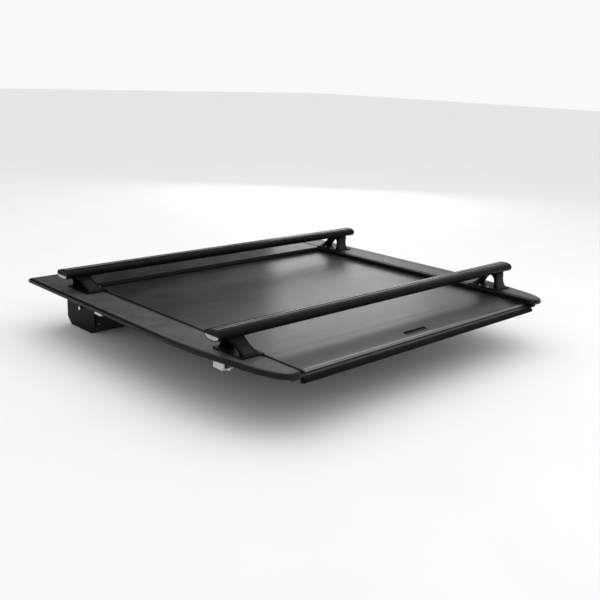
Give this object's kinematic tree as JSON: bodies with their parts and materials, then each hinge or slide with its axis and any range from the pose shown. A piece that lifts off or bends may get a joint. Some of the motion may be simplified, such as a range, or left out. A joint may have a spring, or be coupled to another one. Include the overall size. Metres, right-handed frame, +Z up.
{
  "type": "roll-up tonneau cover",
  "caption": "Black roll-up tonneau cover for a pickup tub: a slatted curtain runs in clamp-on side rails into a canister, with a latched tail bar and sliding load bars.",
  "frame": {"origin": "middle of the tub's rear edge, on the plane of the tub's side flanges", "axes": "+X to the truck's right, +Y forward to the cab, +Z up"},
  "size_m": [1.63, 1.492, 0.316],
  "materials": {
    "rail_alloy": "black powder-coated extrusion, satin",
    "cap_plastic": "fine-grained dark grey moulding",
    "cover_skin": "satin black vinyl",
    "seal_rubber": "black EPDM",
    "slat_alloy": "dark anodised extrusion",
    "plated_steel": "zinc plated",
    "spring_steel": "oil-tempered wire",
    "bar_alloy": "black anodised aero section",
    "moulded_plastic": "black glass-filled nylon, semi-gloss"
  },
  "bodies": {
    "cover_frame": {"side_rail_left": "rail_alloy", "side_rail_right": "rail_alloy", "rail_cap_left": "cap_plastic", "rail_cap_right": "cap_plastic", "rail_seal_left": "seal_rubber", "rail_seal_right": "seal_rubber", "track_wiper_left": "seal_rubber", "track_wiper_right": "seal_rubber", "canister_end_left": "moulded_plastic", "canister_end_right": "moulded_plastic", "canister_body": "rail_alloy", "canister_lid": "rail_alloy", "spool_axle": "plated_steel", "torsion_spring": "spring_steel", "curtain_leader": "cover_skin"},
    "tail": {"tail_bar_left": "rail_alloy", "tail_bar_right": "rail_alloy", "handle_housing": "rail_alloy", "tail_seal": "seal_rubber"},
    "handle": {"latch_handle": "moulded_plastic"},
    "bolt_left": {"latch_bolt_left": "plated_steel"},
    "bolt_right": {"latch_bolt_right": "plated_steel"},
    "slat_01_carriage": {"slat_01": "slat_alloy"},
    "slat_02_carriage": {"slat_02": "slat_alloy"},
    "slat_03_carriage": {"slat_03": "slat_alloy"},
    "slat_04_carriage": {"slat_04": "slat_alloy"},
    "slat_05_carriage": {"slat_05": "slat_alloy"},
    "slat_06_carriage": {"slat_06": "slat_alloy"},
    "slat_07_carriage": {"slat_07": "slat_alloy"},
    "slat_08_carriage": {"slat_08": "slat_alloy"},
    "slat_09_carriage": {"slat_09": "slat_alloy"},
    "slat_10_carriage": {"slat_10": "slat_alloy"},
    "slat_11_carriage": {"slat_11": "slat_alloy"},
    "slat_12_carriage": {"slat_12": "slat_alloy"},
    "slat_13_carriage": {"slat_13": "slat_alloy"},
    "slat_14_carriage": {"slat_14": "slat_alloy"},
    "slat_15_carriage": {"slat_15": "slat_alloy"},
    "slat_16_carriage": {"slat_16": "slat_alloy"},
    "slat_17_carriage": {"slat_17": "slat_alloy"},
    "spool": {"spool_tube": "slat_alloy", "spool_bearing_left": "plated_steel", "spool_bearing_right": "plated_steel"},
    "rear_load_bar": {"crossbar_rear": "bar_alloy", "crossbar_cap_rear_left": "moulded_plastic", "crossbar_cap_rear_right": "moulded_plastic", "crossbar_foot_rear_left": "moulded_plastic", "crossbar_foot_rear_right": "moulded_plastic", "slot_runner_rear_left": "plated_steel", "slot_runner_rear_right": "plated_steel"},
    "front_load_bar": {"crossbar_front": "bar_alloy", "crossbar_cap_front_left": "moulded_plastic", "crossbar_cap_front_right": "moulded_plastic", "crossbar_foot_front_left": "moulded_plastic", "crossbar_foot_front_right": "moulded_plastic", "slot_runner_front_left": "plated_steel", "slot_runner_front_right": "plated_steel"},
    "tub_clamp_rear_left_body": {"tub_clamp_rear_left": "plated_steel"},
    "tub_clamp_rear_right_body": {"tub_clamp_rear_right": "plated_steel"},
    "tub_clamp_front_left_body": {"tub_clamp_front_left": "plated_steel"},
    "tub_clamp_front_right_body": {"tub_clamp_front_right": "plated_steel"}
  },
  "joints": [
    {"name": "curtain_slide", "type": "slide", "parent": "cover_frame", "child": "tail", "axis": [0, 1, 0], "range_m": [0, 1.0437], "deforming": ["slat_01", "slat_02", "slat_03", "slat_04", "slat_05", "slat_06", "slat_07", "slat_08", "slat_09", "slat_10", "slat_11", "slat_12", "slat_13", "slat_14", "slat_15", "slat_16", "slat_17", "curtain_leader"]},
    {"name": "slat_01_slide", "type": "slide", "parent": "cover_frame", "child": "slat_01_carriage", "axis": [0, 1, 0], "range_m": [0, 1.0437]},
    {"name": "slat_02_slide", "type": "slide", "parent": "cover_frame", "child": "slat_02_carriage", "axis": [0, 1, 0], "range_m": [0, 0.98231]},
    {"name": "slat_03_slide", "type": "slide", "parent": "cover_frame", "child": "slat_03_carriage", "axis": [0, 1, 0], "range_m": [0, 0.92091]},
    {"name": "slat_04_slide", "type": "slide", "parent": "cover_frame", "child": "slat_04_carriage", "axis": [0, 1, 0], "range_m": [0, 0.85952]},
    {"name": "slat_05_slide", "type": "slide", "parent": "cover_frame", "child": "slat_05_carriage", "axis": [0, 1, 0], "range_m": [0, 0.79812]},
    {"name": "slat_06_slide", "type": "slide", "parent": "cover_frame", "child": "slat_06_carriage", "axis": [0, 1, 0], "range_m": [0, 0.73673]},
    {"name": "slat_07_slide", "type": "slide", "parent": "cover_frame", "child": "slat_07_carriage", "axis": [0, 1, 0], "range_m": [0, 0.67534]},
    {"name": "slat_08_slide", "type": "slide", "parent": "cover_frame", "child": "slat_08_carriage", "axis": [0, 1, 0], "range_m": [0, 0.61394]},
    {"name": "slat_09_slide", "type": "slide", "parent": "cover_frame", "child": "slat_09_carriage", "axis": [0, 1, 0], "range_m": [0, 0.55255]},
    {"name": "slat_10_slide", "type": "slide", "parent": "cover_frame", "child": "slat_10_carriage", "axis": [0, 1, 0], "range_m": [0, 0.49115]},
    {"name": "slat_11_slide", "type": "slide", "parent": "cover_frame", "child": "slat_11_carriage", "axis": [0, 1, 0], "range_m": [0, 0.42976]},
    {"name": "slat_12_slide", "type": "slide", "parent": "cover_frame", "child": "slat_12_carriage", "axis": [0, 1, 0], "range_m": [0, 0.36837]},
    {"name": "slat_13_slide", "type": "slide", "parent": "cover_frame", "child": "slat_13_carriage", "axis": [0, 1, 0], "range_m": [0, 0.30697]},
    {"name": "slat_14_slide", "type": "slide", "parent": "cover_frame", "child": "slat_14_carriage", "axis": [0, 1, 0], "range_m": [0, 0.24558]},
    {"name": "slat_15_slide", "type": "slide", "parent": "cover_frame", "child": "slat_15_carriage", "axis": [0, 1, 0], "range_m": [0, 0.18418]},
    {"name": "slat_16_slide", "type": "slide", "parent": "cover_frame", "child": "slat_16_carriage", "axis": [0, 1, 0], "range_m": [0, 0.12279]},
    {"name": "slat_17_slide", "type": "slide", "parent": "cover_frame", "child": "slat_17_carriage", "axis": [0, 1, 0], "range_m": [0, 0.0614]},
    {"name": "spool_turn", "type": "hinge", "parent": "cover_frame", "child": "spool", "pos_m": [0, 1.3677, -0.1115], "axis": [-1, 0, 0], "range_deg": [0, 1047], "deforming": ["torsion_spring"]},
    {"name": "bolt_left_slide", "type": "slide", "parent": "tail", "child": "bolt_left", "axis": [1, 0, 0], "range_m": [0, 0.014], "stiffness_N_per_m": 500},
    {"name": "bolt_right_slide", "type": "slide", "parent": "tail", "child": "bolt_right", "axis": [-1, 0, 0], "range_m": [0, 0.014]},
    {"name": "handle_tilt", "type": "hinge", "parent": "tail", "child": "handle", "pos_m": [0, 0.118, -0.024], "axis": [-1, 0, 0], "range_deg": [0, 18]},
    {"name": "crossbar_rear_slide", "type": "slide", "parent": "cover_frame", "child": "rear_load_bar", "axis": [0, 1, 0], "range_m": [-0.12, 0.6]},
    {"name": "crossbar_front_slide", "type": "slide", "parent": "cover_frame", "child": "front_load_bar", "axis": [0, 1, 0], "range_m": [-0.1, 0.2]},
    {"name": "tub_clamp_rear_left_slide", "type": "slide", "parent": "cover_frame", "child": "tub_clamp_rear_left_body", "axis": [0, 0, -1], "range_m": [0, 0.02]},
    {"name": "tub_clamp_rear_right_slide", "type": "slide", "parent": "cover_frame", "child": "tub_clamp_rear_right_body", "axis": [0, 0, -1], "range_m": [0, 0.02]},
    {"name": "tub_clamp_front_left_slide", "type": "slide", "parent": "cover_frame", "child": "tub_clamp_front_left_body", "axis": [0, 0, -1], "range_m": [0, 0.02]},
    {"name": "tub_clamp_front_right_slide", "type": "slide", "parent": "cover_frame", "child": "tub_clamp_front_right_body", "axis": [0, 0, -1], "range_m": [0, 0.02]}
  ],
  "couplings": [
    {"joint": "slat_01_slide", "follows": "curtain_slide", "ratio": 1},
    {"joint": "slat_02_slide", "follows": "curtain_slide", "ratio": 0.94118},
    {"joint": "slat_03_slide", "follows": "curtain_slide", "ratio": 0.88235},
    {"joint": "slat_04_slide", "follows": "curtain_slide", "ratio": 0.82353},
    {"joint": "slat_05_slide", "follows": "curtain_slide", "ratio": 0.76471},
    {"joint": "slat_06_slide", "follows": "curtain_slide", "ratio": 0.70588},
    {"joint": "slat_07_slide", "follows": "curtain_slide", "ratio": 0.64706},
    {"joint": "slat_08_slide", "follows": "curtain_slide", "ratio": 0.58823},
    {"joint": "slat_09_slide", "follows": "curtain_slide", "ratio": 0.52941},
    {"joint": "slat_10_slide", "follows": "curtain_slide", "ratio": 0.47059},
    {"joint": "slat_11_slide", "follows": "curtain_slide", "ratio": 0.41176},
    {"joint": "slat_12_slide", "follows": "curtain_slide", "ratio": 0.35294},
    {"joint": "slat_13_slide", "follows": "curtain_slide", "ratio": 0.29412},
    {"joint": "slat_14_slide", "follows": "curtain_slide", "ratio": 0.23529},
    {"joint": "slat_15_slide", "follows": "curtain_slide", "ratio": 0.17647},
    {"joint": "slat_16_slide", "follows": "curtain_slide", "ratio": 0.11765},
    {"joint": "slat_17_slide", "follows": "curtain_slide", "ratio": 0.058824},
    {"joint": "spool_turn", "follows": "curtain_slide", "rad_per_m": 17.5},
    {"joint": "bolt_right_slide", "follows": "bolt_left_slide", "ratio": 1},
    {"joint": "handle_tilt", "follows": "bolt_left_slide", "rad_per_m": 22.44}
  ]
}
